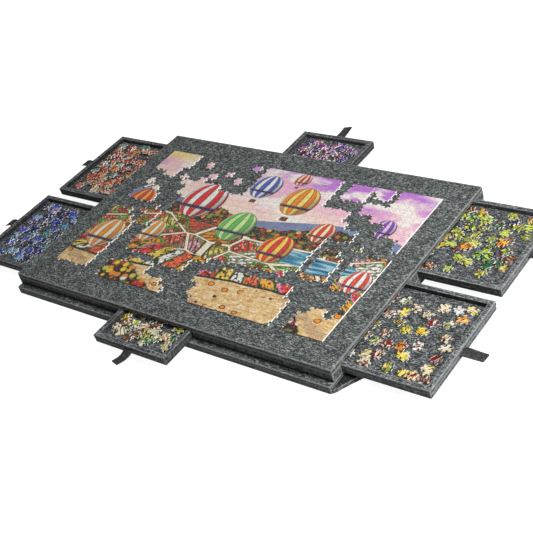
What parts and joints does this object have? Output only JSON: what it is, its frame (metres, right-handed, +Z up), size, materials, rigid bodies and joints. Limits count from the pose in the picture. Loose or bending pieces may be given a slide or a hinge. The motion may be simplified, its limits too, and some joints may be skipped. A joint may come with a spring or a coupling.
{
  "type": "felt jigsaw puzzle table board with sorting drawers",
  "caption": "Flat felt puzzle board with a large deck over a layered case, and shallow felt sorting trays with pull straps that slide out of every side.",
  "frame": {"origin": "centre of the bottom board's underside, on the surface that the board lies on", "axes": "+X to the right along the long side, +Y from the front to the back, +Z up"},
  "size_m": [1.382, 0.906, 0.048],
  "materials": {
    "board_felt": "heather charcoal-grey needle felt",
    "tray_felt": "heather charcoal-grey needle felt, slightly cooler",
    "strap_felt": "darker plain grey felt strip"
  },
  "bodies": {
    "case": {"bottom_board": "board_felt", "base_board": "board_felt", "deck_board": "board_felt", "front_wall_left": "board_felt", "front_wall_right": "board_felt", "back_wall_left": "board_felt", "back_wall_right": "board_felt", "centre_wall_left": "board_felt", "centre_wall_middle": "board_felt", "centre_wall_right": "board_felt", "divider_left": "board_felt", "divider_right": "board_felt"},
    "right_front_tray": {"right_front_tray_floor": "tray_felt", "right_front_tray_rim_outer": "tray_felt", "right_front_tray_rim_inner": "tray_felt", "right_front_tray_rim_near": "tray_felt", "right_front_tray_rim_far": "tray_felt", "right_front_tray_strap": "strap_felt"},
    "right_back_tray": {"right_back_tray_floor": "tray_felt", "right_back_tray_rim_outer": "tray_felt", "right_back_tray_rim_inner": "tray_felt", "right_back_tray_rim_near": "tray_felt", "right_back_tray_rim_far": "tray_felt", "right_back_tray_strap": "strap_felt"},
    "back_tray": {"back_tray_floor": "tray_felt", "back_tray_rim_outer": "tray_felt", "back_tray_rim_inner": "tray_felt", "back_tray_rim_near": "tray_felt", "back_tray_rim_far": "tray_felt", "back_tray_strap": "strap_felt"},
    "left_back_tray": {"left_back_tray_floor": "tray_felt", "left_back_tray_rim_outer": "tray_felt", "left_back_tray_rim_inner": "tray_felt", "left_back_tray_rim_near": "tray_felt", "left_back_tray_rim_far": "tray_felt", "left_back_tray_strap": "strap_felt"},
    "left_front_tray": {"left_front_tray_floor": "tray_felt", "left_front_tray_rim_outer": "tray_felt", "left_front_tray_rim_inner": "tray_felt", "left_front_tray_rim_near": "tray_felt", "left_front_tray_rim_far": "tray_felt", "left_front_tray_strap": "strap_felt"},
    "front_tray": {"front_tray_floor": "tray_felt", "front_tray_rim_outer": "tray_felt", "front_tray_rim_inner": "tray_felt", "front_tray_rim_near": "tray_felt", "front_tray_rim_far": "tray_felt", "front_tray_strap": "strap_felt"}
  },
  "joints": [
    {"name": "right_front_slide", "type": "slide", "parent": "case", "child": "right_front_tray", "axis": [1, 0, 0], "range_m": [-0.19, 0.09]},
    {"name": "right_back_slide", "type": "slide", "parent": "case", "child": "right_back_tray", "axis": [1, 0, 0], "range_m": [-0.184, 0.096]},
    {"name": "back_slide", "type": "slide", "parent": "case", "child": "back_tray", "axis": [0, 1, 0], "range_m": [-0.116, 0.124]},
    {"name": "left_back_slide", "type": "slide", "parent": "case", "child": "left_back_tray", "axis": [-1, 0, 0], "range_m": [-0.186, 0.094]},
    {"name": "left_front_slide", "type": "slide", "parent": "case", "child": "left_front_tray", "axis": [-1, 0, 0], "range_m": [-0.195, 0.085]},
    {"name": "front_slide", "type": "slide", "parent": "case", "child": "front_tray", "axis": [0, -1, 0], "range_m": [-0.088, 0.152]}
  ]
}
